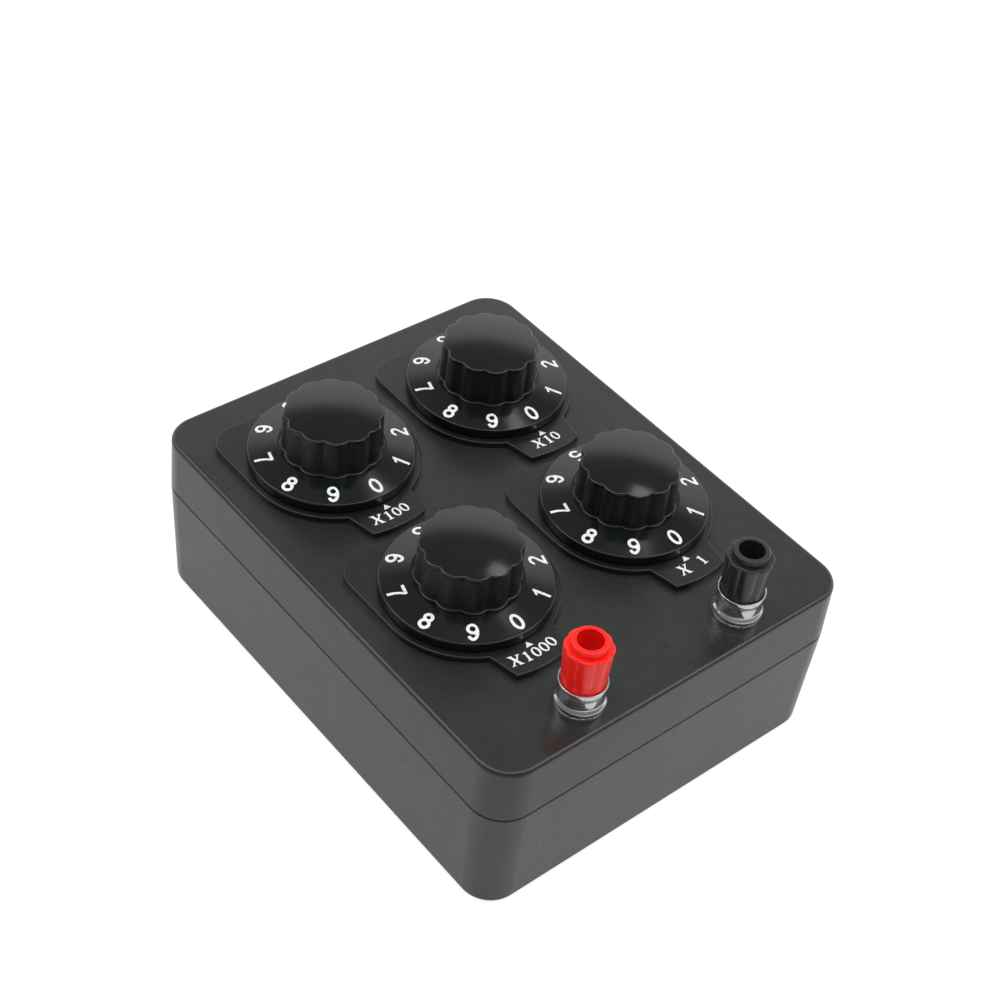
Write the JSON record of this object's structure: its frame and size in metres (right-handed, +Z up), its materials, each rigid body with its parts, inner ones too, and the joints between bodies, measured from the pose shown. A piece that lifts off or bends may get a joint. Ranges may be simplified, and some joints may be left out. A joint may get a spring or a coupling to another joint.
{
  "type": "resistance decade box",
  "caption": "Black moulded bench box with skirted decade dials on escutcheon plates and a red and a black binding post, for setting a resistance.",
  "frame": {"origin": "middle of the case's underside, on the surface it stands on", "axes": "+X along the long side towards the terminals, +Y across from the red terminal to the black one, +Z up out of the dials"},
  "size_m": [0.145, 0.115, 0.0714],
  "materials": {
    "case_plastic": "semi-gloss moulding",
    "plate_plastic": "gloss moulding",
    "knob_plastic": "satin moulding",
    "red_plastic": "gloss moulding",
    "black_plastic": "gloss moulding",
    "clear_plastic": "clear polished moulding",
    "nickel": "bright nickel plate on brass",
    "steel": "zinc-plated steel",
    "brass": "turned or stamped brass",
    "laminate": "phenolic laminate",
    "resistor_coat": "epoxy coat over metal film",
    "wire_sleeve": "soft vinyl insulation"
  },
  "bodies": {
    "case": {"case_lid": "case_plastic", "case_tray": "case_plastic", "case_screws": "steel", "switch_nuts": "nickel", "terminal_lugs": "brass", "terminal_nuts": "nickel", "link_wires": "wire_sleeve", "dial_plate_x1": "plate_plastic", "switch_frame_x1": "nickel", "detent_spring_x1": "steel", "switch_wafer_x1": "laminate", "switch_contacts_x1": "brass", "decade_resistors_x1": "resistor_coat", "dial_plate_x10": "plate_plastic", "switch_frame_x10": "nickel", "detent_spring_x10": "steel", "switch_wafer_x10": "laminate", "switch_contacts_x10": "brass", "decade_resistors_x10": "resistor_coat", "dial_plate_x100": "plate_plastic", "switch_frame_x100": "nickel", "detent_spring_x100": "steel", "switch_wafer_x100": "laminate", "switch_contacts_x100": "brass", "decade_resistors_x100": "resistor_coat", "dial_plate_x1000": "plate_plastic", "switch_frame_x1000": "nickel", "detent_spring_x1000": "steel", "switch_wafer_x1000": "laminate", "switch_contacts_x1000": "brass", "decade_resistors_x1000": "resistor_coat", "terminal_post_red": "nickel", "terminal_collar_red": "clear_plastic", "terminal_post_black": "nickel", "terminal_collar_black": "clear_plastic"},
    "dial_x1": {"dial_knob_x1": "knob_plastic", "switch_shaft_x1": "steel", "index_wheel_x1": "steel", "switch_rotor_x1": "laminate", "switch_wiper_x1": "brass"},
    "dial_x10": {"dial_knob_x10": "knob_plastic", "switch_shaft_x10": "steel", "index_wheel_x10": "steel", "switch_rotor_x10": "laminate", "switch_wiper_x10": "brass"},
    "dial_x100": {"dial_knob_x100": "knob_plastic", "switch_shaft_x100": "steel", "index_wheel_x100": "steel", "switch_rotor_x100": "laminate", "switch_wiper_x100": "brass"},
    "dial_x1000": {"dial_knob_x1000": "knob_plastic", "switch_shaft_x1000": "steel", "index_wheel_x1000": "steel", "switch_rotor_x1000": "laminate", "switch_wiper_x1000": "brass"},
    "red_insert": {"terminal_insert_red": "brass"},
    "red_cap": {"terminal_cap_red": "red_plastic"},
    "black_insert": {"terminal_insert_black": "brass"},
    "black_cap": {"terminal_cap_black": "black_plastic"}
  },
  "joints": [
    {"name": "dial_x1_turn", "type": "hinge", "parent": "case", "child": "dial_x1", "pos_m": [0.0195, 0.026, 0.05], "axis": [0, 0, 1], "range_deg": [-324, 0]},
    {"name": "dial_x10_turn", "type": "hinge", "parent": "case", "child": "dial_x10", "pos_m": [-0.0375, 0.026, 0.05], "axis": [0, 0, 1], "range_deg": [-324, 0]},
    {"name": "dial_x100_turn", "type": "hinge", "parent": "case", "child": "dial_x100", "pos_m": [-0.0375, -0.026, 0.05], "axis": [0, 0, 1], "range_deg": [-324, 0]},
    {"name": "dial_x1000_turn", "type": "hinge", "parent": "case", "child": "dial_x1000", "pos_m": [0.0195, -0.026, 0.05], "axis": [0, 0, 1], "range_deg": [-324, 0]},
    {"name": "red_cap_lift", "type": "slide", "parent": "case", "child": "red_insert", "axis": [0, 0, 1], "range_m": [0, 0.004]},
    {"name": "red_cap_turn", "type": "hinge", "parent": "red_insert", "child": "red_cap", "pos_m": [0.0625, -0.026, 0.062], "axis": [0, 0, 1], "range_deg": [0, 1800]},
    {"name": "black_cap_lift", "type": "slide", "parent": "case", "child": "black_insert", "axis": [0, 0, 1], "range_m": [0, 0.004]},
    {"name": "black_cap_turn", "type": "hinge", "parent": "black_insert", "child": "black_cap", "pos_m": [0.0625, 0.026, 0.062], "axis": [0, 0, 1], "range_deg": [0, 1800]}
  ],
  "couplings": [
    {"joint": "red_cap_turn", "follows": "red_cap_lift", "rad_per_m": 7853.9},
    {"joint": "black_cap_turn", "follows": "black_cap_lift", "rad_per_m": 7853.9}
  ]
}
